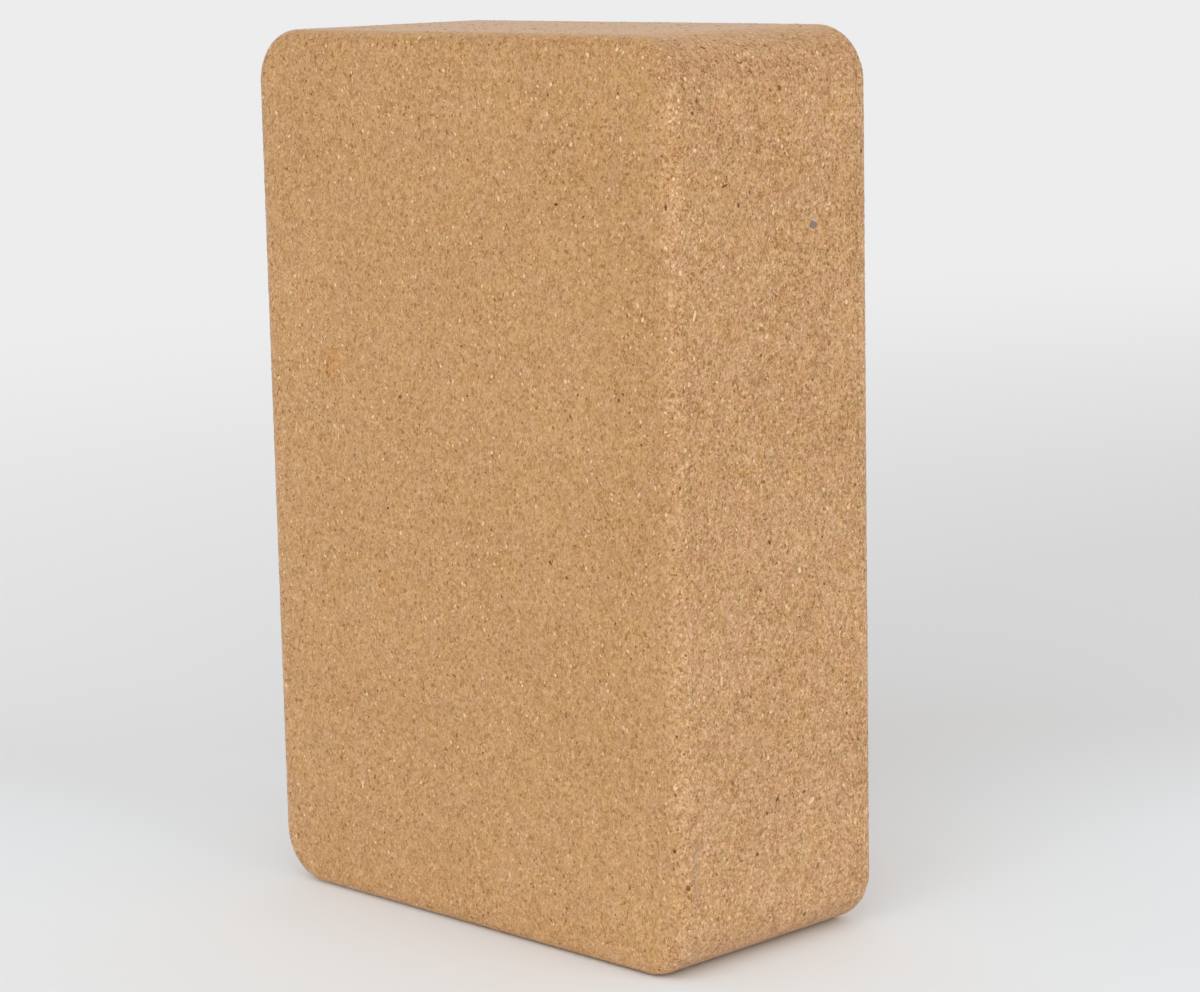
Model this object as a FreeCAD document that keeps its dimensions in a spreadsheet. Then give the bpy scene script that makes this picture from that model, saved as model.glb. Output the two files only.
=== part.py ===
import FreeCAD, Part
import os
import Sketcher

# Yoga block: one solid block of pressed cork granules, standing on one of its small ends.
# The origin is at the middle of that end. X runs across the width, Y through the thickness
# and +Z up along the length. Lengths are in millimetres.

doc = FreeCAD.newDocument("YogaBlock")


# Driving dimensions

sizes = doc.addObject("Spreadsheet::Sheet", "Sizes")
driving_dimensions = [
    ("block_length", 228.6, "longest side, between the two small ends"),
    ("block_width", 150.0, "across the broad faces"),
    ("block_thickness", 72.0, "between the two broad faces"),
    ("corner_radius", 14.0, "rounding of the four corners of the broad outline"),
    ("edge_radius", 4.0, "rounding of the rim of each broad face"),
]
for row, (name, millimetres, meaning) in enumerate(driving_dimensions, start=1):
    sizes.set(f"A{row}", meaning)
    sizes.set(f"B{row}", str(millimetres))
    sizes.setAlias(f"B{row}", name)
doc.recompute()


# Sawn blank: a plain rectangle standing on the ground line, padded evenly to both sides

block = doc.addObject("PartDesign::Body", "CorkBlock")
block.Label = "cork_block"

upright_plane = next(plane for plane in block.Origin.OriginFeatures if plane.Role == "XZ_Plane")
outline = block.newObject("Sketcher::SketchObject", "Outline")
outline.AttachmentSupport = [(upright_plane, "")]
outline.MapMode = "FlatFace"

length = sizes.get("block_length")
half_width = sizes.get("block_width") / 2
bottom_left = FreeCAD.Vector(-half_width, 0, 0)
bottom_right = FreeCAD.Vector(half_width, 0, 0)
top_right = FreeCAD.Vector(half_width, length, 0)
top_left = FreeCAD.Vector(-half_width, length, 0)
bottom = outline.addGeometry(Part.LineSegment(bottom_left, bottom_right))
right = outline.addGeometry(Part.LineSegment(bottom_right, top_right))
top = outline.addGeometry(Part.LineSegment(top_right, top_left))
left = outline.addGeometry(Part.LineSegment(top_left, bottom_left))

START, END = 1, 2
GROUND_LINE = -1
ORIGIN = (GROUND_LINE, START)
sides = [bottom, right, top, left]
for side, following in zip(sides, sides[1:] + sides[:1]):
    outline.addConstraint(Sketcher.Constraint("Coincident", side, END, following, START))
outline.addConstraint(Sketcher.Constraint("Symmetric", bottom, START, bottom, END, *ORIGIN))
outline.addConstraint(Sketcher.Constraint("PointOnObject", bottom, START, GROUND_LINE))
outline.addConstraint(Sketcher.Constraint("Vertical", right))
outline.addConstraint(Sketcher.Constraint("Horizontal", top))
outline.addConstraint(Sketcher.Constraint("Vertical", left))
across = outline.addConstraint(Sketcher.Constraint("DistanceX", bottom, START, bottom, END, 2 * half_width))
upwards = outline.addConstraint(Sketcher.Constraint("DistanceY", right, START, right, END, length))
outline.setExpression(f"Constraints[{across}]", "Sizes.block_width")
outline.setExpression(f"Constraints[{upwards}]", "Sizes.block_length")

blank = block.newObject("PartDesign::Pad", "SawnBlank")
blank.Profile = outline
blank.SideType = "Symmetric"
blank.setExpression("Length", "Sizes.block_thickness")
doc.recompute()


# Rounded corners: the four edges that run through the thickness, along Y


def lies_along_y(direction):
    return abs(direction.y) > abs(direction.x) + abs(direction.z)


thickness_edges = [
    f"Edge{number}"
    for number, edge in enumerate(blank.Shape.Edges, start=1)
    if lies_along_y(edge.tangentAt(edge.FirstParameter))
]
corners = block.newObject("PartDesign::Fillet", "RoundedCorners")
corners.Base = (blank, thickness_edges)
corners.setExpression("Radius", "Sizes.corner_radius")
doc.recompute()


# Rounded rims: every edge of the two broad faces, whose normals lie along Y

broad_faces = [
    f"Face{number}"
    for number, face in enumerate(corners.Shape.Faces, start=1)
    if isinstance(face.Surface, Part.Plane) and lies_along_y(face.Surface.Axis)
]
rims = block.newObject("PartDesign::Fillet", "RoundedRims")
rims.Base = (corners, broad_faces)
rims.setExpression("Radius", "Sizes.edge_radius")
doc.recompute()


# Every object has to be sound before the solid is written

for item in doc.Objects:
    if "Invalid" in item.State or "Error" in item.State:
        raise RuntimeError(f"{item.Label} did not recompute: {item.State}")
if block.Shape.isNull() or not block.Shape.isValid():
    raise RuntimeError(f"{block.Label} has no valid shape")

os.makedirs("parts", exist_ok=True)
block.Shape.exportStep(f"parts/{block.Label}.step")

box = block.Shape.optimalBoundingBox(False, False)
print(f"{block.Label}: {box.XLength:.2f} x {box.YLength:.2f} x {box.ZLength:.2f} mm")
print(f"{len(block.Shape.Solids)} solid, {len(block.Shape.Faces)} faces, {block.Shape.Volume:.0f} cubic mm")
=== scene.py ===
import math

import bpy
from mathutils import Matrix, Vector


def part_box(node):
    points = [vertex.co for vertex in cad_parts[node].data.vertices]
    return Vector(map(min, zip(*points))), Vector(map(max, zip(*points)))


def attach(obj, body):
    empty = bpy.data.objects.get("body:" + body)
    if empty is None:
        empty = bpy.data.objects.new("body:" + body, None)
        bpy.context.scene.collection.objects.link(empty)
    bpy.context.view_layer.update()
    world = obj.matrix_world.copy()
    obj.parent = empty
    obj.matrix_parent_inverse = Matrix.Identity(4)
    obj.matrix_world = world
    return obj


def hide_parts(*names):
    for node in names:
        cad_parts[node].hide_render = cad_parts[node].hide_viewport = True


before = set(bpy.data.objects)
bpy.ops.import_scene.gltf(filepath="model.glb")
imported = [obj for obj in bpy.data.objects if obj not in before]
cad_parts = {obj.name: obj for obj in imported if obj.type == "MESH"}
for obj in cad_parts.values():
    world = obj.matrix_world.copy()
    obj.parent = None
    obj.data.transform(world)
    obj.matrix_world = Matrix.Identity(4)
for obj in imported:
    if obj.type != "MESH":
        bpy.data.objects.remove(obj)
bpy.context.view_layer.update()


# Cork block
# The whole object: one solid block of fine cork granules pressed with a little binder. It is sawn
# from a larger billet, its four outline corners are rounded, the rims of its broad faces are
# rounded over, and the bare cork is sanded smooth, which leaves small pits where granules tore out.

MM = 0.001
block_low, block_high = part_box("cork_block")
corner_radius = 14 * MM
rim_radius = 4 * MM
skin_depth = 0.07 * MM
mesh_step = 1.5 * MM
point_shift = 0.45 * MM
point_shift_seed = 11
unevenness = 0.04 * MM
unevenness_width = 2.5 * MM
pit_share = 0.08
pit_share_seed = 21
pit_mouth_shares = (0.25, 0.6)
pit_mouth_seed = 22
pit_depths = (0.08 * MM, 0.22 * MM)
pit_depth_seed = 23
pit_floor_share = 0.6
end_sharpness = 6
end_smoothness = 0.8
map_fill_share = 0.985

granule_width = 0.95 * MM
granule_wander = 0.7 * granule_width
crumb_width = 0.42 * MM
clump_width = 3.2 * MM
patch_width = 42 * MM
grain_squeeze = (1.28, 1.02, 0.86)
granule_share = 0.24
crumb_share = 0.45
clump_share = 0.21
patch_share = 0.14
# The tone rises towards the foot: painted light thrown up from the floor.
painted_bounce_share = 0.045
middle_tone = 0.5
face_contrast = 0.99
sawn_contrast = 0.25
rim_contrast = 0.10
end_evenness = 0.6
rim_fullness = 0.25
# The rounded upright edges are painted lighter: a painted highlight where the front light meets them.
rim_painted_highlight = 0.024
# The ends are painted lighter: a painted sheen in place of the pale reflection seen at a glancing view.
end_painted_sheen = 0.03
# The upward rounding is painted darker: a painted shade for the light that falls weaker there.
shoulder_painted_shade = 0.07
rub_inset = 1.4 * MM
rub_depth = block_high.y - rim_radius - rub_inset
rub_width = 0.7 * MM
rub_shade = 0.075
cork_tones = [
    (0.00, (0.232, 0.085, 0.003, 1)),
    (0.25, (0.423, 0.214, 0.069, 1)),
    (0.50, (0.554, 0.308, 0.127, 1)),
    (0.75, (0.679, 0.405, 0.195, 1)),
    (1.00, (0.896, 0.600, 0.345, 1)),
]

tint_width = 9 * MM
fleck_width = 2.4 * MM
cloud_tinting = 2.1
granule_tinting = 0.2
front_flecking = 1.05
side_flecking = 0.65
middle_tint = 0.5
sawn_pinkness = 0.5
end_yellowness = 0.5
rim_pinkness = 0.4
# The upward rounding of the upright sides is tinted bluer: a painted reflection of the pale sky.
shoulder_painted_reflection = 0.8
yellow_tint = (1.034, 1.016, 0.936, 1)
pink_tint = (0.989, 0.992, 1.088, 1)
rosy_tint = (1.016, 0.965, 1.019, 1)
olive_tint = (0.984, 1.035, 0.981, 1)
# Inside the pits the colour is darker: dust and painted shade in the hollows.
pit_dust_and_painted_shade = (0.86, 0.79, 0.73, 1)

# Faint stains on the front: across, up and radius in millimetres, and the strength.
stains = [(-47.8, 142.6, 6.5, 1.0), (-28.6, 86.5, 6.0, 0.55)]
stain_core_share = 0.25
stain_tint = (1.02, 0.905, 0.72, 1)

bump_strength = 0.35
bump_height = 0.06 * MM
sheen = 0.08
shine = 0.3
roughness_low = 0.40
roughness_span = 0.15


def add_node(tree, kind, inputs=None, **settings):
    node = tree.nodes.new(kind)
    for name, value in settings.items():
        setattr(node, name, value)
    for key, value in (inputs or {}).items():
        if isinstance(value, bpy.types.NodeSocket):
            tree.links.new(value, node.inputs[key])
        else:
            node.inputs[key].default_value = value
    return node


def maths(tree, operation, *terms):
    return add_node(tree, "ShaderNodeMath", dict(enumerate(terms)), operation=operation).outputs[0]


def vectors(tree, operation, *terms):
    node = add_node(tree, "ShaderNodeVectorMath", operation=operation)
    for place, term in enumerate(terms):
        socket = node.inputs["Scale"] if operation == "SCALE" and place == 1 else node.inputs[place]
        if isinstance(term, bpy.types.NodeSocket):
            tree.links.new(term, socket)
        else:
            socket.default_value = term
    return node.outputs["Value"] if operation in ("LENGTH", "DOT_PRODUCT") else node.outputs["Vector"]


def parts_of(tree, vector):
    return add_node(tree, "ShaderNodeSeparateXYZ", {0: vector}).outputs


def joined(tree, x, y, z):
    return add_node(tree, "ShaderNodeCombineXYZ", {0: x, 1: y, 2: z}).outputs[0]


def random_number(tree, low, high, seed, number=None):
    node = add_node(tree, "FunctionNodeRandomValue", {2: low, 3: high, "Seed": seed}, data_type="FLOAT")
    if number is not None:
        tree.links.new(number, node.inputs["ID"])
    return node.outputs[1]


def random_vector(tree, reach, seed):
    node = add_node(tree, "FunctionNodeRandomValue", {"Seed": seed}, data_type="FLOAT_VECTOR")
    node.inputs[0].default_value = (-1, -1, -1)
    node.inputs[1].default_value = (1, 1, 1)
    return vectors(tree, "SCALE", node.outputs[0], reach)


def stored(tree, geometry, name, kind, domain, value):
    node = add_node(tree, "GeometryNodeStoreNamedAttribute", data_type=kind, domain=domain)
    tree.links.new(geometry, node.inputs["Geometry"])
    node.inputs["Name"].default_value = name
    tree.links.new(value, node.inputs["Value"])
    return node.outputs["Geometry"]


def recalled(tree, name, kind):
    return add_node(tree, "GeometryNodeInputNamedAttribute", {"Name": name}, data_type=kind).outputs[0]


def new_shape_tree(name, sizes):
    tree = bpy.data.node_groups.new(name, "GeometryNodeTree")
    for label, kind in sizes:
        tree.interface.new_socket(label, in_out="INPUT", socket_type=kind)
    tree.interface.new_socket("Geometry", in_out="OUTPUT", socket_type="NodeSocketGeometry")
    return tree, tree.nodes.new("NodeGroupInput").outputs


def finish_shape_tree(tree, geometry, material):
    realized = add_node(tree, "GeometryNodeRealizeInstances", {"Geometry": geometry}).outputs[0]
    finished = add_node(tree, "GeometryNodeSetMaterial", {"Geometry": realized, "Material": material})
    add_node(tree, "NodeGroupOutput", {"Geometry": finished.outputs[0]})


def make_piece(name, tree, values, start=None):
    shaper = bpy.data.objects.new(name + "_shaper", start or bpy.data.meshes.new(name + "_start"))
    bpy.context.scene.collection.objects.link(shaper)
    modifier = shaper.modifiers.new("Shape", "NODES")
    modifier.node_group = tree
    for socket in tree.interface.items_tree:
        if socket.in_out == "INPUT" and socket.name in values:
            modifier[socket.identifier] = values[socket.name]
    bpy.context.view_layer.update()
    evaluated = shaper.evaluated_get(bpy.context.evaluated_depsgraph_get())
    mesh = bpy.data.meshes.new_from_object(evaluated)
    bpy.data.objects.remove(shaper)
    mesh.name = name
    piece = bpy.data.objects.new(name, mesh)
    bpy.context.scene.collection.objects.link(piece)
    return piece


def celled_box(tree, size, step):
    counts = [maths(tree, "ROUND", maths(tree, "DIVIDE", side, step)) for side in parts_of(tree, size)]
    points = {f"Vertices {axis}": maths(tree, "ADD", count, 1) for axis, count in zip("XYZ", counts)}
    return add_node(tree, "GeometryNodeMeshCube", {"Size": size, **points}).outputs["Mesh"]


def rounded_over(tree, box, size, centre, corner, rim):
    """Draws the points of an even box in onto the rounded corners and the rounded rims."""
    half_width, half_thickness, half_length = parts_of(tree, vectors(tree, "SCALE", size, 0.5))
    x, y, z = parts_of(tree, add_node(tree, "GeometryNodeInputPosition").outputs[0])

    core_x = maths(tree, "SUBTRACT", half_width, corner)
    core_z = maths(tree, "SUBTRACT", half_length, corner)
    inner_x = maths(tree, "MAXIMUM", maths(tree, "MINIMUM", x, core_x), maths(tree, "MULTIPLY", core_x, -1))
    inner_z = maths(tree, "MAXIMUM", maths(tree, "MINIMUM", z, core_z), maths(tree, "MULTIPLY", core_z, -1))
    out_x = maths(tree, "SUBTRACT", x, inner_x)
    out_z = maths(tree, "SUBTRACT", z, inner_z)
    reach = maths(tree, "MAXIMUM", maths(tree, "ABSOLUTE", out_x), maths(tree, "ABSOLUTE", out_z))
    outward = vectors(tree, "NORMALIZE", joined(tree, out_x, 0, out_z))

    depth = maths(tree, "ABSOLUTE", y)
    flat_reach = maths(tree, "SUBTRACT", corner, rim)
    flat_depth = maths(tree, "SUBTRACT", half_thickness, rim)
    over_wall = maths(tree, "MAXIMUM", maths(tree, "SUBTRACT", reach, flat_reach), 0)
    over_face = maths(tree, "MAXIMUM", maths(tree, "SUBTRACT", depth, flat_depth), 0)
    squares = maths(tree, "ADD", maths(tree, "POWER", over_wall, 2), maths(tree, "POWER", over_face, 2))
    pull = maths(tree, "SUBTRACT", 1, maths(tree, "DIVIDE", rim, maths(tree, "SQRT", squares)))
    reach = maths(tree, "SUBTRACT", reach, maths(tree, "MULTIPLY", over_wall, pull))
    depth = maths(tree, "SUBTRACT", depth, maths(tree, "MULTIPLY", over_face, pull))
    depth = maths(tree, "MULTIPLY", depth, maths(tree, "SIGN", y))

    inner = joined(tree, inner_x, depth, inner_z)
    rounded = vectors(tree, "ADD", inner, vectors(tree, "SCALE", outward, reach))
    placed = vectors(tree, "ADD", rounded, centre)
    return add_node(tree, "GeometryNodeSetPosition", {"Geometry": box, "Position": placed}).outputs[0]


def endwise(tree, towards_z):
    """From none on the upright sides to one on the ends, most of it past the rounded corners."""
    return maths(tree, "POWER", maths(tree, "ABSOLUTE", towards_z), end_sharpness)


def roughened(tree, mesh):
    """Shifts the points about within the surface and lets the skin sink unevenly."""
    normal = add_node(tree, "GeometryNodeInputNormal").outputs[0]
    shift = random_vector(tree, point_shift, point_shift_seed)
    lift = vectors(tree, "SCALE", normal, vectors(tree, "DOT_PRODUCT", shift, normal))
    sideways = vectors(tree, "SUBTRACT", shift, lift)
    mesh = add_node(tree, "GeometryNodeSetPosition", {"Geometry": mesh, "Offset": sideways}).outputs[0]
    place = add_node(tree, "GeometryNodeInputPosition").outputs[0]
    waves = add_node(tree, "ShaderNodeTexNoise", {"Vector": place, "Scale": 1 / unevenness_width})
    sink = maths(tree, "MULTIPLY", waves.outputs["Fac"], -unevenness)
    offset = vectors(tree, "SCALE", normal, sink)
    return add_node(tree, "GeometryNodeSetPosition", {"Geometry": mesh, "Offset": offset}).outputs[0]


def pitted(tree, mesh):
    """Sinks a small pit into the middle of some of the cells, each of another width and depth."""
    end = recalled(tree, "end", "FLOAT")
    share = maths(tree, "MULTIPLY_ADD", end, -end_smoothness * pit_share, pit_share)
    torn = maths(tree, "LESS_THAN", random_number(tree, 0, 1, pit_share_seed), share)
    mouth = add_node(
        tree,
        "GeometryNodeExtrudeMesh",
        {"Mesh": mesh, "Selection": torn, "Offset Scale": 0, "Individual": True},
    )
    drawn_in = add_node(
        tree,
        "GeometryNodeScaleElements",
        {"Geometry": mouth.outputs["Mesh"], "Selection": mouth.outputs["Top"]},
    )
    tree.links.new(random_number(tree, *pit_mouth_shares, pit_mouth_seed), drawn_in.inputs["Scale"])
    pit = add_node(
        tree,
        "GeometryNodeExtrudeMesh",
        {"Mesh": drawn_in.outputs[0], "Selection": mouth.outputs["Top"], "Individual": True},
    )
    sink = maths(tree, "MULTIPLY", random_number(tree, *pit_depths, pit_depth_seed), -1)
    tree.links.new(sink, pit.inputs["Offset Scale"])
    tapered = add_node(
        tree,
        "GeometryNodeScaleElements",
        {"Geometry": pit.outputs["Mesh"], "Selection": pit.outputs["Top"], "Scale": pit_floor_share},
    )
    inside = maths(tree, "MAXIMUM", pit.outputs["Top"], pit.outputs["Side"])
    return stored(tree, tapered.outputs[0], "pit", "FLOAT", "FACE", inside)


def unfolded(tree, mesh, size, centre):
    """Lays the six sides out flat in the baking map, the four upright ones below the two ends."""
    width, thickness, length = parts_of(tree, size)
    facing_x, facing_y, facing_z = parts_of(tree, recalled(tree, "side", "FLOAT_VECTOR"))
    position = add_node(tree, "GeometryNodeInputPosition").outputs[0]
    x, y, z = parts_of(tree, vectors(tree, "SUBTRACT", position, centre))
    is_narrow, is_broad, is_end = [maths(tree, "ABSOLUTE", axis) for axis in (facing_x, facing_y, facing_z)]
    is_upright = maths(tree, "SUBTRACT", 1, is_end)

    def total(*pairs):
        products = [maths(tree, "MULTIPLY", first, second) for first, second in pairs]
        result = products[0]
        for product in products[1:]:
            result = maths(tree, "ADD", result, product)
        return result

    is_back = maths(tree, "MAXIMUM", facing_y, 0)
    is_bottom = maths(tree, "MAXIMUM", maths(tree, "MULTIPLY", facing_z, -1), 0)
    is_left = maths(tree, "MAXIMUM", maths(tree, "MULTIPLY", facing_x, -1), 0)
    half_width = maths(tree, "MULTIPLY", width, 0.5)
    half_thickness = maths(tree, "MULTIPLY", thickness, 0.5)
    past_broad = maths(tree, "ADD", maths(tree, "MULTIPLY", width, 2), half_thickness)
    across = total((maths(tree, "SUBTRACT", is_end, facing_y), x), (facing_x, y))
    upward = total((facing_z, y), (is_upright, z))
    column = total(
        (maths(tree, "ADD", is_broad, is_end), half_width),
        (maths(tree, "ADD", is_back, is_bottom), width),
        (is_narrow, past_broad),
        (is_left, thickness),
    )
    row = total(
        (is_upright, maths(tree, "MULTIPLY", length, 0.5)),
        (is_end, maths(tree, "ADD", length, half_thickness)),
    )
    sheet_width = maths(tree, "MULTIPLY", maths(tree, "ADD", width, thickness), 2)
    sheet_height = maths(tree, "ADD", length, thickness)
    across = maths(tree, "DIVIDE", total((across, map_fill_share), (column, 1)), sheet_width)
    upward = maths(tree, "DIVIDE", total((upward, map_fill_share), (row, 1)), sheet_height)
    return stored(tree, mesh, "OFBake", "FLOAT2", "CORNER", joined(tree, across, upward, 0))


def without(tree, geometry, *names):
    for name in names:
        node = add_node(tree, "GeometryNodeRemoveAttribute", {"Geometry": geometry, "Name": name})
        geometry = node.outputs[0]
    return geometry


def three_numbers(tree, colour):
    return add_node(tree, "ShaderNodeSeparateColor", {0: colour}).outputs


def mosaic(tree, place, width):
    """Random numbers, three to a granule."""
    cells = add_node(tree, "ShaderNodeTexVoronoi", {"Vector": place, "Scale": 1 / width})
    return three_numbers(tree, cells.outputs["Color"])


def noise(tree, place, width, detail):
    settings = {"Vector": place, "Scale": 1 / width, "Detail": detail}
    return add_node(tree, "ShaderNodeTexNoise", settings).outputs


def clouds(tree, place, width, detail=1.0):
    return noise(tree, place, width, detail)["Fac"]


def blended(tree, parts):
    """Adds up the patterns, each about its middle of one half, by their shares."""
    total = None
    for value, share in parts:
        part = maths(tree, "MULTIPLY", maths(tree, "SUBTRACT", value, 0.5), share)
        total = part if total is None else maths(tree, "ADD", total, part)
    return total


def tinted(tree, kind, factor, first, second):
    node = add_node(tree, "ShaderNodeMix", data_type="RGBA", blend_type=kind)
    for socket, value in zip((node.inputs[0], node.inputs[6], node.inputs[7]), (factor, first, second)):
        if isinstance(value, bpy.types.NodeSocket):
            tree.links.new(value, socket)
        else:
            socket.default_value = value
    return node.outputs[2]


def eased(tree, value, start, end, full=1.0):
    """From none at the start to the full share at the end, and level beyond both."""
    settings = {"Value": value, "From Min": start, "From Max": end, "To Max": full}
    return add_node(tree, "ShaderNodeMapRange", settings, interpolation_type="SMOOTHSTEP").outputs[0]


def tone_ramp(tree, tone, stops):
    ramp = add_node(tree, "ShaderNodeValToRGB", {0: tone})
    elements = ramp.color_ramp.elements
    while len(elements) < len(stops):
        elements.new(0.5)
    for element, (position, colour) in zip(elements, stops):
        element.position = position
        element.color = colour
    return ramp.outputs[0]


def new_material(name):
    material = bpy.data.materials.new(name)
    material.use_nodes = True
    material.node_tree.nodes.clear()
    return material, material.node_tree


def cork_material():
    material, tree = new_material("cork")
    place = add_node(tree, "ShaderNodeTexCoord").outputs["Object"]
    sawn, end, rim, shoulder, pit = [
        add_node(tree, "ShaderNodeAttribute", attribute_name=name).outputs["Fac"]
        for name in ("sawn", "end", "rim", "shoulder", "pit")
    ]

    wander = noise(tree, place, granule_width, 1.0)["Color"]
    bend = vectors(tree, "SUBTRACT", wander, (0.5, 0.5, 0.5))
    bent = vectors(tree, "ADD", place, vectors(tree, "SCALE", bend, granule_wander))
    upright = vectors(tree, "MULTIPLY", bent, grain_squeeze)
    granule = mosaic(tree, upright, granule_width)
    crumb = mosaic(tree, upright, crumb_width)
    clump = clouds(tree, place, clump_width, detail=2.0)
    patch = clouds(tree, place, patch_width)
    fleck = three_numbers(tree, noise(tree, place, fleck_width, 0.0)["Color"])

    _, y, z = parts_of(tree, place)
    # Lighter towards the foot: painted light from the floor.
    lower = maths(tree, "MULTIPLY_ADD", z, -1 / block_high.z, 1)
    from_rub = maths(tree, "ABSOLUTE", maths(tree, "SUBTRACT", maths(tree, "ABSOLUTE", y), rub_depth))
    rub = maths(tree, "MAXIMUM", maths(tree, "MULTIPLY_ADD", from_rub, -1 / rub_width, 1), 0)
    rub = maths(tree, "MULTIPLY", rub, maths(tree, "SUBTRACT", sawn, end))
    tone = blended(
        tree,
        [
            (granule[0], granule_share),
            (crumb[0], crumb_share),
            (clump, clump_share),
            (patch, patch_share),
            (lower, painted_bounce_share),
        ],
    )
    contrast = maths(tree, "ADD", face_contrast, maths(tree, "MULTIPLY", sawn, sawn_contrast))
    contrast = maths(tree, "MULTIPLY_ADD", end, -end_evenness, contrast)
    contrast = maths(tree, "MULTIPLY_ADD", rim, rim_contrast, contrast)
    tone = maths(tree, "MULTIPLY_ADD", tone, contrast, middle_tone)
    # Painted highlight on the rounded upright edges.
    tone = maths(tree, "MULTIPLY_ADD", rim, rim_painted_highlight, tone)
    # Painted sheen: the ends are made lighter.
    tone = maths(tree, "MULTIPLY_ADD", end, end_painted_sheen, tone)
    # Painted shade: the upward rounding is made darker.
    tone = maths(tree, "MULTIPLY_ADD", shoulder, -shoulder_painted_shade, tone)
    tone = maths(tree, "MULTIPLY_ADD", rub, -rub_shade, tone)
    colour = tone_ramp(tree, tone, cork_tones)

    tint_clouds = clouds(tree, place, tint_width, detail=2.0)
    tint = blended(
        tree, [(granule[1], granule_tinting), (tint_clouds, cloud_tinting), (sawn, sawn_pinkness)]
    )
    yellowing = maths(tree, "MULTIPLY", end, end_yellowness)
    tint = maths(tree, "SUBTRACT", maths(tree, "ADD", tint, middle_tint), yellowing)
    flecking = maths(tree, "MULTIPLY_ADD", sawn, side_flecking, front_flecking)
    tint = maths(tree, "MULTIPLY_ADD", blended(tree, [(fleck[0], 1.0)]), flecking, tint)
    blush = maths(tree, "MULTIPLY_ADD", blended(tree, [(fleck[1], 1.0)]), flecking, middle_tint)
    tint = maths(tree, "MULTIPLY_ADD", rim, rim_pinkness, tint)
    # Painted reflection: the upward rounding of the upright sides is tinted bluer.
    side_shoulder = maths(tree, "MULTIPLY", shoulder, sawn)
    tint = maths(tree, "MULTIPLY_ADD", side_shoulder, shoulder_painted_reflection, tint)
    colour = tinted(tree, "MULTIPLY", 1.0, colour, tinted(tree, "MIX", tint, yellow_tint, pink_tint))
    colour = tinted(tree, "MULTIPLY", 1.0, colour, tinted(tree, "MIX", blush, olive_tint, rosy_tint))
    for across, up, radius, strength in stains:
        middle = Vector((across * MM, block_low.y, up * MM))
        away = vectors(tree, "LENGTH", vectors(tree, "SUBTRACT", bent, middle))
        edge = radius * MM
        soaked = eased(tree, away, edge, edge * stain_core_share, strength)
        colour = tinted(tree, "MULTIPLY", soaked, colour, stain_tint)
    # Dust and painted shade inside the pits.
    colour = tinted(tree, "MIX", pit, colour, tinted(tree, "MULTIPLY", 1.0, colour, pit_dust_and_painted_shade))

    height = maths(tree, "MULTIPLY", maths(tree, "ADD", crumb[2], granule[2]), 0.5)
    strength = maths(tree, "MULTIPLY_ADD", end, -end_smoothness * bump_strength, bump_strength)
    bump = add_node(
        tree, "ShaderNodeBump", {"Strength": strength, "Distance": bump_height, "Height": height}
    )
    roughness = maths(tree, "MULTIPLY_ADD", crumb[1], roughness_span, roughness_low)
    surface = add_node(
        tree,
        "ShaderNodeBsdfPrincipled",
        {
            "Base Color": colour,
            "Normal": bump.outputs[0],
            "Roughness": roughness,
            "Specular IOR Level": shine,
            "Sheen Weight": sheen,
        },
    )
    add_node(tree, "ShaderNodeOutputMaterial", {"Surface": surface.outputs[0]})
    return material


def skin_below(depth):
    """The tree's inputs for the block's form, drawn in all round by this depth."""
    return {
        "Size": block_high - block_low - Vector((2 * depth,) * 3),
        "Centre": (block_low + block_high) / 2,
        "Corner Radius": corner_radius - depth,
        "Rim Radius": rim_radius - depth,
        "Mesh Step": mesh_step,
    }


block_sizes = [
    ("Size", "NodeSocketVector"),
    ("Centre", "NodeSocketVector"),
    ("Corner Radius", "NodeSocketFloat"),
    ("Rim Radius", "NodeSocketFloat"),
    ("Mesh Step", "NodeSocketFloat"),
]
block_tree, given = new_shape_tree("Cork block", block_sizes)
box = celled_box(block_tree, given["Size"], given["Mesh Step"])
facing = add_node(block_tree, "GeometryNodeInputNormal").outputs[0]
box = stored(block_tree, box, "side", "FLOAT_VECTOR", "FACE", facing)
form = rounded_over(
    block_tree, box, given["Size"], given["Centre"], given["Corner Radius"], given["Rim Radius"]
)
outward = add_node(block_tree, "GeometryNodeInputNormal").outputs[0]
towards_x, towards_y, towards_z = parts_of(block_tree, outward)
away_from_y = maths(block_tree, "SUBTRACT", 1, maths(block_tree, "ABSOLUTE", towards_y))
form = stored(block_tree, form, "sawn", "FLOAT", "POINT", away_from_y)
form = stored(block_tree, form, "end", "FLOAT", "POINT", endwise(block_tree, towards_z))

# The first product below is at most a half and the second at most a quarter; both are brought to one.
slanted = maths(block_tree, "ABSOLUTE", maths(block_tree, "MULTIPLY", towards_x, towards_y))
rim = maths(block_tree, "POWER", maths(block_tree, "MULTIPLY", slanted, 2), rim_fullness)
form = stored(block_tree, form, "rim", "FLOAT", "POINT", rim)
# The shoulder measure marks the upward rounding for its painted shade and its painted reflection.
upward = maths(block_tree, "MAXIMUM", towards_z, 0)
shoulder = maths(block_tree, "MULTIPLY", upward, maths(block_tree, "SUBTRACT", 1, upward))
form = stored(block_tree, form, "shoulder", "FLOAT", "POINT", maths(block_tree, "MULTIPLY", shoulder, 4))

form = pitted(block_tree, roughened(block_tree, form))
form = unfolded(block_tree, form, given["Size"], given["Centre"])
form = without(block_tree, form, "side")
smooth = maths(block_tree, "LESS_THAN", recalled(block_tree, "pit", "FLOAT"), 0.5)
form = add_node(
    block_tree, "GeometryNodeSetShadeSmooth", {"Geometry": form, "Shade Smooth": smooth}
).outputs[0]
finish_shape_tree(block_tree, form, cork_material())
block = make_piece("cork_body", block_tree, skin_below(skin_depth))
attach(block, "root")
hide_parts("cork_block")


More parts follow.
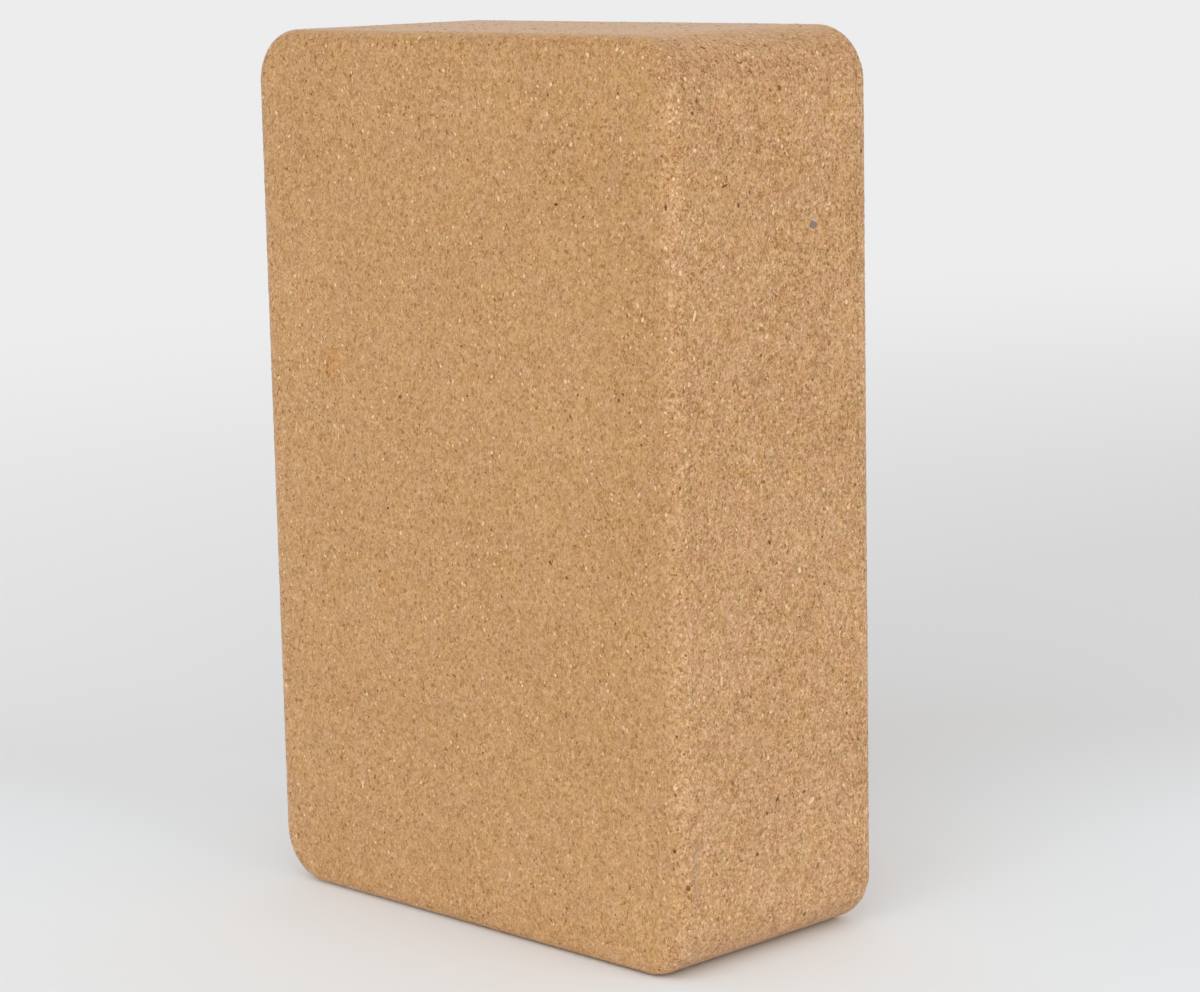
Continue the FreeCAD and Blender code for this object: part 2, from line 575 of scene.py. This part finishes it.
# Granules in the sanded skin
# Cork granules that stand out by their tone: pale flecks of clean cork, brown ones, and dark bits of
# bark. Each is cut flat by the sanding belt and sits in the skin with its point inwards.

granule_kinds = [
    {
        "name": "pale_granules",
        "Spacing": 0.9 * MM,
        "Crowding": 15.5e4,
        "Longest": 1.3 * MM,
        "Shortest": 0.45 * MM,
        "Narrowest": 0.4,
        "Below": 0.02 * MM,
        "Seed": 3,
        "tones": [(0.0, (0.650, 0.384, 0.180, 1)), (1.0, (0.905, 0.615, 0.368, 1))],
    },
    {
        "name": "brown_granules",
        "Spacing": 0.9 * MM,
        "Crowding": 15.5e4,
        "Longest": 1.3 * MM,
        "Shortest": 0.4 * MM,
        "Narrowest": 0.35,
        "Below": 0.03 * MM,
        "Seed": 4,
        "tones": [(0.0, (0.335, 0.149, 0.028, 1)), (1.0, (0.489, 0.256, 0.093, 1))],
    },
    {
        "name": "bark_specks",
        "Spacing": 1.2 * MM,
        "Crowding": 1.9e4,
        "Longest": 1.0 * MM,
        "Shortest": 0.3 * MM,
        "Narrowest": 0.3,
        "Below": 0.025 * MM,
        "Seed": 5,
        "tones": [(0.0, (0.150, 0.048, 0.002, 1)), (1.0, (0.290, 0.123, 0.018, 1))],
    },
]
granule_depth = 0.25 * MM
granule_sides = (5, 6, 7)
outline_unevenness = 0.9
outline_waves = 1.7
outline_spacing = 7.3
granule_turns = (math.radians(25), math.radians(155))
size_bias = 2
crowd_width = 8 * MM
crowd_clouds = (0.3, 0.7)
thinnest_crowd = 0.3
end_thinning = 0.85
cut_unevenness = 0.006 * MM
cut_seed = 31
speckle_width = 0.3 * MM
speckle_share = 0.8
map_cell_share = 0.33
size_seed_step = 10
slimness_seed_step = 20
turn_seed_step = 30
form_seed_step = 40
tone_seed_step = 50


def granule_forms(tree):
    """Irregular flat-topped grains of unit radius, each with its point below."""
    join = add_node(tree, "GeometryNodeJoinGeometry")
    for number, sides in enumerate(granule_sides):
        cone = add_node(
            tree,
            "GeometryNodeMeshCone",
            {"Vertices": sides, "Radius Top": 1, "Radius Bottom": 0, "Depth": 1},
            fill_type="NGON",
        ).outputs["Mesh"]
        x, y, z = parts_of(tree, add_node(tree, "GeometryNodeInputPosition").outputs[0])
        place = joined(tree, x, y, outline_spacing * number)
        waves = add_node(tree, "ShaderNodeTexNoise", {"Vector": place, "Scale": outline_waves, "Detail": 0})
        uneven = maths(tree, "MULTIPLY", waves.outputs["Fac"], outline_unevenness)
        reach = maths(tree, "ADD", 1 - 0.5 * outline_unevenness, uneven)
        moved = joined(
            tree,
            maths(tree, "MULTIPLY", x, reach),
            maths(tree, "MULTIPLY", y, reach),
            maths(tree, "SUBTRACT", z, 1),
        )
        cone = add_node(tree, "GeometryNodeSetPosition", {"Geometry": cone, "Position": moved}).outputs[0]
        own_place = add_node(tree, "GeometryNodeInputPosition").outputs[0]
        cone = stored(tree, cone, "grain_place", "FLOAT_VECTOR", "POINT", own_place)
        grain = add_node(tree, "GeometryNodeGeometryToInstance", {"Geometry": cone}).outputs[0]
        tree.links.new(grain, join.inputs[0])
    return join.outputs[0]


def outward_from(tree, skin):
    facing = add_node(tree, "GeometryNodeInputNormal").outputs[0]
    node = add_node(tree, "GeometryNodeSampleNearestSurface", data_type="FLOAT_VECTOR")
    tree.links.new(skin, node.inputs["Mesh"])
    tree.links.new(facing, node.inputs["Value"])
    return node.outputs["Value"]


def sanded_flush(tree, grains, skin):
    """Lays the rim of every grain's flat top onto the skin, so that it bends over the rounded edges."""
    nearest = add_node(tree, "GeometryNodeProximity", target_element="FACES")
    tree.links.new(skin, nearest.inputs[0])
    cut = random_number(tree, -cut_unevenness, 0, cut_seed, recalled(tree, "grain_number", "FLOAT"))
    flush = vectors(
        tree, "ADD", nearest.outputs["Position"], vectors(tree, "SCALE", outward_from(tree, skin), cut)
    )
    height = parts_of(tree, recalled(tree, "grain_place", "FLOAT_VECTOR"))[2]
    on_top = maths(tree, "GREATER_THAN", height, -0.5)
    return add_node(
        tree, "GeometryNodeSetPosition", {"Geometry": grains, "Selection": on_top, "Position": flush}
    ).outputs[0]


def granule_material(name, tones):
    material, tree = new_material(name)
    place = add_node(tree, "ShaderNodeTexCoord").outputs["Object"]
    tone = add_node(tree, "ShaderNodeAttribute", attribute_name="tone").outputs["Fac"]
    speckle = clouds(tree, place, speckle_width)
    mottled = maths(tree, "ADD", tone, blended(tree, [(speckle, speckle_share)]))
    colour = tone_ramp(tree, mottled, tones)
    roughness = maths(tree, "MULTIPLY_ADD", speckle, roughness_span, roughness_low)
    surface = add_node(
        tree,
        "ShaderNodeBsdfPrincipled",
        {"Base Color": colour, "Roughness": roughness, "Specular IOR Level": shine, "Sheen Weight": sheen},
    )
    add_node(tree, "ShaderNodeOutputMaterial", {"Surface": surface.outputs[0]})
    return material


skin_sizes = block_sizes + [("Depth", "NodeSocketFloat"), ("Seed", "NodeSocketInt")]


def rounded_skin(tree, given):
    size = given["Size"]
    box = celled_box(tree, size, given["Mesh Step"])
    return rounded_over(tree, box, size, given["Centre"], given["Corner Radius"], given["Rim Radius"])


def turned(tree, rotation, angle):
    about_normal = add_node(tree, "FunctionNodeAxisAngleToRotation", {"Axis": (0, 0, 1), "Angle": angle})
    return add_node(
        tree,
        "FunctionNodeRotateRotation",
        {"Rotation": rotation, "Rotate By": about_normal.outputs[0]},
        rotation_space="LOCAL",
    ).outputs[0]


def set_in_skin(tree, points, rotation, scale, seed, skin):
    """Sets a grain on every point, cuts it flush and gives it a field of its own in the baking map."""
    just_short = 0.001
    form_seed = maths(tree, "ADD", seed, form_seed_step)
    pick = random_number(tree, 0, len(granule_sides) - just_short, form_seed)
    grains = add_node(
        tree,
        "GeometryNodeInstanceOnPoints",
        {
            "Points": points,
            "Instance": granule_forms(tree),
            "Pick Instance": True,
            "Instance Index": maths(tree, "FLOOR", pick),
            "Rotation": rotation,
            "Scale": scale,
        },
    ).outputs[0]
    number = add_node(tree, "GeometryNodeInputIndex").outputs[0]
    grains = stored(tree, grains, "grain_number", "FLOAT", "INSTANCE", number)
    counted = add_node(tree, "GeometryNodeAttributeDomainSize", {0: grains}, component="INSTANCES")
    rows = maths(tree, "CEIL", maths(tree, "SQRT", counted.outputs["Instance Count"]))
    plain = add_node(tree, "GeometryNodeRealizeInstances", {"Geometry": grains}).outputs[0]
    plain = sanded_flush(tree, plain, skin)
    number = recalled(tree, "grain_number", "FLOAT")
    x, y, _ = parts_of(tree, recalled(tree, "grain_place", "FLOAT_VECTOR"))
    column = maths(tree, "ADD", maths(tree, "MODULO", number, rows), 0.5)
    row = maths(tree, "ADD", maths(tree, "FLOOR", maths(tree, "DIVIDE", number, rows)), 0.5)
    across = maths(tree, "DIVIDE", maths(tree, "MULTIPLY_ADD", x, map_cell_share, column), rows)
    upward = maths(tree, "DIVIDE", maths(tree, "MULTIPLY_ADD", y, map_cell_share, row), rows)
    plain = stored(tree, plain, "OFBake", "FLOAT2", "CORNER", joined(tree, across, upward, 0))
    plain = without(tree, plain, "grain_number", "grain_place")
    return add_node(
        tree, "GeometryNodeSetShadeSmooth", {"Geometry": plain, "Shade Smooth": False}
    ).outputs[0]


def granule_tree(name, material):
    sizes = skin_sizes + [
        ("Spacing", "NodeSocketFloat"),
        ("Crowding", "NodeSocketFloat"),
        ("Longest", "NodeSocketFloat"),
        ("Shortest", "NodeSocketFloat"),
        ("Narrowest", "NodeSocketFloat"),
    ]
    tree, given = new_shape_tree(name, sizes)
    skin = rounded_skin(tree, given)
    seed = given["Seed"]
    place = add_node(tree, "GeometryNodeInputPosition").outputs[0]
    crowd = add_node(
        tree,
        "ShaderNodeMapRange",
        {
            "Value": clouds(tree, place, crowd_width),
            "From Min": crowd_clouds[0],
            "From Max": crowd_clouds[1],
            "To Min": thinnest_crowd,
        },
    ).outputs[0]
    upright = parts_of(tree, add_node(tree, "GeometryNodeInputNormal").outputs[0])[2]
    fewer = maths(tree, "MULTIPLY_ADD", endwise(tree, upright), -end_thinning, 1)
    crowd = maths(tree, "MULTIPLY", crowd, fewer)
    spread = add_node(
        tree,
        "GeometryNodeDistributePointsOnFaces",
        {
            "Mesh": skin,
            "Distance Min": given["Spacing"],
            "Density Max": given["Crowding"],
            "Density Factor": crowd,
            "Seed": seed,
        },
        distribute_method="POISSON",
    )
    tone = random_number(tree, 0, 1, maths(tree, "ADD", seed, tone_seed_step))
    points = stored(tree, spread.outputs["Points"], "tone", "FLOAT", "POINT", tone)
    size_draw = random_number(tree, 0, 1, maths(tree, "ADD", seed, size_seed_step))
    size_draw = maths(tree, "POWER", size_draw, size_bias)
    span = maths(tree, "SUBTRACT", given["Longest"], given["Shortest"])
    length = maths(tree, "MULTIPLY_ADD", size_draw, span, given["Shortest"])
    half_length = maths(tree, "MULTIPLY", length, 0.5)
    slimness = random_number(tree, given["Narrowest"], 1, maths(tree, "ADD", seed, slimness_seed_step))
    scale = joined(tree, half_length, maths(tree, "MULTIPLY", half_length, slimness), given["Depth"])
    turn = random_number(tree, *granule_turns, maths(tree, "ADD", seed, turn_seed_step))
    rotation = turned(tree, spread.outputs["Rotation"], turn)
    finish_shape_tree(tree, set_in_skin(tree, points, rotation, scale, seed, skin), material)
    return tree


for kind in granule_kinds:
    tree = granule_tree(kind["name"], granule_material(kind["name"], kind["tones"]))
    sizes = {**kind, **skin_below(kind["Below"]), "Depth": granule_depth}
    granules = make_piece(kind["name"], tree, sizes)
    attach(granules, "root")


# Single marks
# Granules large or odd enough to be told apart one by one: dark bits of bark, pale flakes of clean
# cork, a grey grain of grit with a lighter edge, and the dull flakes of a scuff near the foot. They
# lie in the skin like the rest.

mark_depth = 0.012 * MM

# Each mark: its face, place across, place up, length and width in millimetres, and turn in degrees.
mark_kinds = [
    {
        "name": "bark_marks",
        "Seed": 6,
        "tones": [(0.0, (0.14, 0.045, 0.002, 1)), (1.0, (0.23, 0.085, 0.008, 1))],
        "marks": [
            ("side", -33.3, 24.5, 1.4, 1.1, 0),
            ("side", -1.1, 40.2, 1.4, 1.0, -50),
            ("side", -12.4, 187.6, 1.1, 0.9, 0),
            ("side", 2.6, 214.7, 1.7, 1.1, 25),
            ("side", -16.9, 192.7, 2.5, 0.6, -75),
            ("side", -2.9, 105.0, 1.4, 0.9, 25),
            ("side", -19.1, 230.2, 1.8, 0.8, 60),
            ("side", 8.9, 40.2, 1.8, 0.7, -75),
            ("side", -4.9, 37.4, 1.1, 0.8, -20),
            ("side", 10.0, 7.2, 1.1, 0.9, 0),
            ("side", -26.4, 213.2, 1.1, 0.8, 0),
            ("side", -27.8, 210.2, 1.0, 0.8, 30),
            ("side", 32.4, 197.8, 1.2, 0.9, 0),
            ("front", 32.4, 99.6, 1.4, 1.1, 30),
            ("front", 37.0, 187.9, 1.6, 0.9, -80),
            ("front", 72.8, 33.9, 1.0, 0.9, 0),
            ("front", 73.4, 188.6, 1.7, 0.8, 40),
        ],
    },
    {
        "name": "pale_marks",
        "Seed": 7,
        "tones": [(0.0, (0.80, 0.54, 0.32, 1)), (1.0, (0.90, 0.65, 0.41, 1))],
        "marks": [
            ("side", -6.2, 62.4, 1.2, 1.1, 0),
            ("side", 7.9, 96.4, 1.5, 1.2, 0),
            ("side", -0.1, 185.3, 1.7, 1.2, 0),
            ("side", 11.5, 37.3, 2.2, 1.4, -60),
            ("side", -28.2, 162.7, 2.8, 0.9, -20),
            ("side", -20.7, 73.5, 2.6, 0.9, 0),
            ("side", 20.3, 185.7, 1.5, 0.9, -50),
            ("side", -32.7, 173.3, 1.3, 1.1, 0),
            ("side", -32.4, 213.5, 1.2, 1.0, 0),
            ("front", 73.5, 49.8, 1.6, 1.2, 0),
            ("front", 59.4, 204.2, 1.6, 0.9, 0),
            ("front", 17.1, 188.5, 1.5, 0.9, 15),
        ],
    },
    {
        "name": "grit_grain",
        "Seed": 8,
        "tones": [(0.0, (0.21, 0.145, 0.105, 1)), (1.0, (0.55, 0.395, 0.290, 1))],
        "marks": [("side", 14.8, 182.2, 1.0, 3.2, -15), ("side", 14.3, 181.2, 2.2, 3.5, 0)],
    },
    {
        "name": "scuff",
        "Seed": 9,
        "tones": [(0.0, (0.45, 0.270, 0.145, 1)), (1.0, (0.58, 0.380, 0.225, 1))],
        "marks": [
            ("side", -30.2, 34.3, 3.0, 1.8, 20),
            ("side", -30.7, 31.6, 3.4, 1.5, -10),
            ("side", -30.0, 28.8, 3.2, 1.2, 15),
            ("side", -30.6, 26.1, 3.0, 1.4, -15),
            ("side", -30.3, 22.6, 3.6, 1.0, 5),
            ("side", -30.6, 19.0, 2.8, 0.8, -8),
        ],
    },
]


def mark_points(name, marks):
    """One point to a mark, with its length, width and turn. On the front, turns count from a quarter."""
    quarter_turn = 90
    places, lengths, widths, turns = [], [], [], []
    for face, across, up, length, width, turn in marks:
        if face == "side":
            places.append((block_high.x, across * MM, up * MM))
            turns.append(math.radians(turn))
        else:
            places.append((across * MM, block_low.y, up * MM))
            turns.append(math.radians(turn + quarter_turn))
        lengths.append(length * MM)
        widths.append(width * MM)
    points = bpy.data.meshes.new(name + "_points")
    points.from_pydata(places, [], [])
    for label, values in (("length", lengths), ("width", widths), ("turn", turns)):
        points.attributes.new(label, "FLOAT", "POINT").data.foreach_set("value", values)
    return points


def mark_tree(name, material):
    tree, given = new_shape_tree(name, [("Marks", "NodeSocketGeometry")] + skin_sizes)
    skin = rounded_skin(tree, given)
    seed = given["Seed"]
    nearest = add_node(tree, "GeometryNodeProximity", target_element="FACES")
    tree.links.new(skin, nearest.inputs[0])
    points = add_node(
        tree,
        "GeometryNodeSetPosition",
        {"Geometry": given["Marks"], "Position": nearest.outputs["Position"]},
    ).outputs[0]
    points = add_node(tree, "GeometryNodeMeshToPoints", {"Mesh": points}).outputs[0]
    tone = random_number(tree, 0, 1, maths(tree, "ADD", seed, tone_seed_step))
    points = stored(tree, points, "tone", "FLOAT", "POINT", tone)
    half_length = maths(tree, "MULTIPLY", recalled(tree, "length", "FLOAT"), 0.5)
    half_width = maths(tree, "MULTIPLY", recalled(tree, "width", "FLOAT"), 0.5)
    upright = add_node(
        tree, "FunctionNodeAlignRotationToVector", {"Vector": outward_from(tree, skin)}, axis="Z"
    ).outputs[0]
    rotation = turned(tree, upright, recalled(tree, "turn", "FLOAT"))
    scale = joined(tree, half_length, half_width, given["Depth"])
    form = set_in_skin(tree, points, rotation, scale, seed, skin)
    finish_shape_tree(tree, without(tree, form, "length", "width", "turn"), material)
    return tree


for kind in mark_kinds:
    tree = mark_tree(kind["name"], granule_material(kind["name"], kind["tones"]))
    points = mark_points(kind["name"], kind["marks"])
    sizes = {**skin_below(mark_depth), "Depth": granule_depth, "Seed": kind["Seed"]}
    marks = make_piece(kind["name"], tree, sizes, points)
    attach(marks, "root")


# Floor
# A plain pale paper floor that the block stands on, wide enough to fill every view. Close to the
# block it is painted a little cooler, against the warm light that the cork throws onto it, and behind
# it greyer, a painted shade. Far off it is seen as an even pale backdrop, while the light that it
# throws back stays the paper's.

floor_radius = 12.0
floor_corners = 96
paper_roughness = 0.9
paper_shine = 0.1
# Painted light: the near white is cooler, to offset the warm light that the cork throws onto the paper.
near_white = (0.935, 0.972, 1.000, 1)
far_white = (0.965, 0.967, 0.970, 1)
near_reach = 0.22
far_reach = 0.55
# Painted shade: the paper turns to this grey behind the block.
shaded_white = (0.840, 0.843, 0.847, 1)
shaded_side = Vector((-0.71, 0.71, 0))
shade_start = 0.04
shade_end = 0.20
backdrop_white = (0.845, 0.845, 0.848, 1)
fade_centre = Vector((0.40, 0.40, 0))
fade_start = 0.58
fade_end = 1.6
fade_bend = 1.75


def looked_at(tree):
    """One for what the camera sees, also in a mirror or through glass, and none for the light cast."""
    path = add_node(tree, "ShaderNodeLightPath").outputs
    mirrored = maths(tree, "MAXIMUM", path["Is Glossy Ray"], path["Is Transmission Ray"])
    return maths(tree, "MAXIMUM", path["Is Camera Ray"], mirrored)


def paper_material():
    material, tree = new_material("paper")
    place = add_node(tree, "ShaderNodeTexCoord").outputs["Object"]
    # Painted shade behind the block and the painted cooler white close to it.
    behind = eased(tree, vectors(tree, "DOT_PRODUCT", place, shaded_side), shade_start, shade_end)
    outlying = eased(tree, vectors(tree, "LENGTH", place), near_reach, far_reach)
    white = tinted(tree, "MIX", outlying, near_white, far_white)
    paper = add_node(
        tree,
        "ShaderNodeBsdfPrincipled",
        {
            "Base Color": tinted(tree, "MIX", behind, white, shaded_white),
            "Roughness": paper_roughness,
            "Specular IOR Level": paper_shine,
        },
    )
    backdrop = add_node(tree, "ShaderNodeEmission", {"Color": backdrop_white, "Strength": 1.0})
    reach = vectors(tree, "LENGTH", vectors(tree, "SUBTRACT", place, fade_centre))
    near = add_node(
        tree,
        "ShaderNodeMapRange",
        {"Value": reach, "From Min": fade_start, "From Max": fade_end, "To Min": 1, "To Max": 0},
    ).outputs[0]
    away = maths(tree, "SUBTRACT", 1, maths(tree, "POWER", near, fade_bend))
    share = maths(tree, "MULTIPLY", away, looked_at(tree))
    both = add_node(tree, "ShaderNodeMixShader", {0: share, 1: paper.outputs[0], 2: backdrop.outputs[0]})
    add_node(tree, "ShaderNodeOutputMaterial", {"Surface": both.outputs[0]})
    return material


bpy.ops.mesh.primitive_circle_add(vertices=floor_corners, radius=floor_radius, fill_type="NGON")
floor = bpy.context.object
floor.name = "floor"
floor.data.materials.append(paper_material())


# Light
# Even light from all round, as in a white room with a darker ceiling, with a large soft lamp to the
# left of the camera and a weaker one to the right.

wall_light = 1.12
ceiling_light = 0.39
left_lamp_place = (1.2, -2.5, 2.6)
left_lamp_side = 3.2
left_lamp_watts = 39.5
right_lamp_place = (2.8, 0.25, 1.7)
right_lamp_side = 1.4
right_lamp_watts = 13.6
lamp_target = (0, 0, 0.1)

world = bpy.data.worlds.new("white room")
bpy.context.scene.world = world
world.use_nodes = True
room = world.node_tree
room.nodes.clear()
seen = add_node(room, "ShaderNodeBackground", {"Color": backdrop_white, "Strength": 1.0})
upward = parts_of(room, add_node(room, "ShaderNodeTexCoord").outputs["Generated"])[2]
glow = add_node(
    room, "ShaderNodeMapRange", {"Value": upward, "To Min": wall_light, "To Max": ceiling_light}
).outputs[0]
cast = add_node(room, "ShaderNodeBackground", {"Color": (1, 1, 1, 1), "Strength": glow})
both = add_node(room, "ShaderNodeMixShader", {0: looked_at(room), 1: cast.outputs[0], 2: seen.outputs[0]})
add_node(room, "ShaderNodeOutputWorld", {"Surface": both.outputs[0]})


def add_soft_lamp(name, place, target, side, watts):
    lamp = bpy.data.lights.new(name, "AREA")
    lamp.shape = "SQUARE"
    lamp.size = side
    lamp.energy = watts
    lamp_object = bpy.data.objects.new(name, lamp)
    lamp_object.location = place
    lamp_object.rotation_euler = (Vector(target) - Vector(place)).to_track_quat("-Z", "Y").to_euler()
    bpy.context.scene.collection.objects.link(lamp_object)


add_soft_lamp("left_softbox", left_lamp_place, lamp_target, left_lamp_side, left_lamp_watts)
add_soft_lamp("right_softbox", right_lamp_place, lamp_target, right_lamp_side, right_lamp_watts)


# Camera
# It stands halfway round from the block's front to its right side, a little higher than its top, and
# looks slightly down through a long lens, tilted by about a degree, as the photograph was taken.

camera_place = Vector((0.6188, -0.6023, 0.2572))
heading = math.radians(-45.12)
look_down = math.radians(9.82)
tilt = math.radians(-1.186)
sensor_width = 36.0
focal_length = 101.45
nearest_seen = 0.05
farthest_seen = 40

camera_data = bpy.data.cameras.new("camera")
camera_data.sensor_width = sensor_width
camera_data.lens = focal_length
camera_data.clip_start = nearest_seen
camera_data.clip_end = farthest_seen
camera = bpy.data.objects.new("camera", camera_data)
bpy.context.scene.collection.objects.link(camera)
forward = Vector(
    (
        math.sin(heading) * math.cos(look_down),
        math.cos(heading) * math.cos(look_down),
        -math.sin(look_down),
    )
)
level_right = Vector((math.cos(heading), -math.sin(heading), 0))
level_up = level_right.cross(forward)
right = level_right * math.cos(tilt) + level_up * math.sin(tilt)
up = level_up * math.cos(tilt) - level_right * math.sin(tilt)
turn = Matrix((right, up, -forward)).transposed().to_4x4()
camera.matrix_world = Matrix.Translation(camera_place) @ turn
bpy.context.scene.camera = camera
bpy.context.scene.view_settings.view_transform = "Standard"
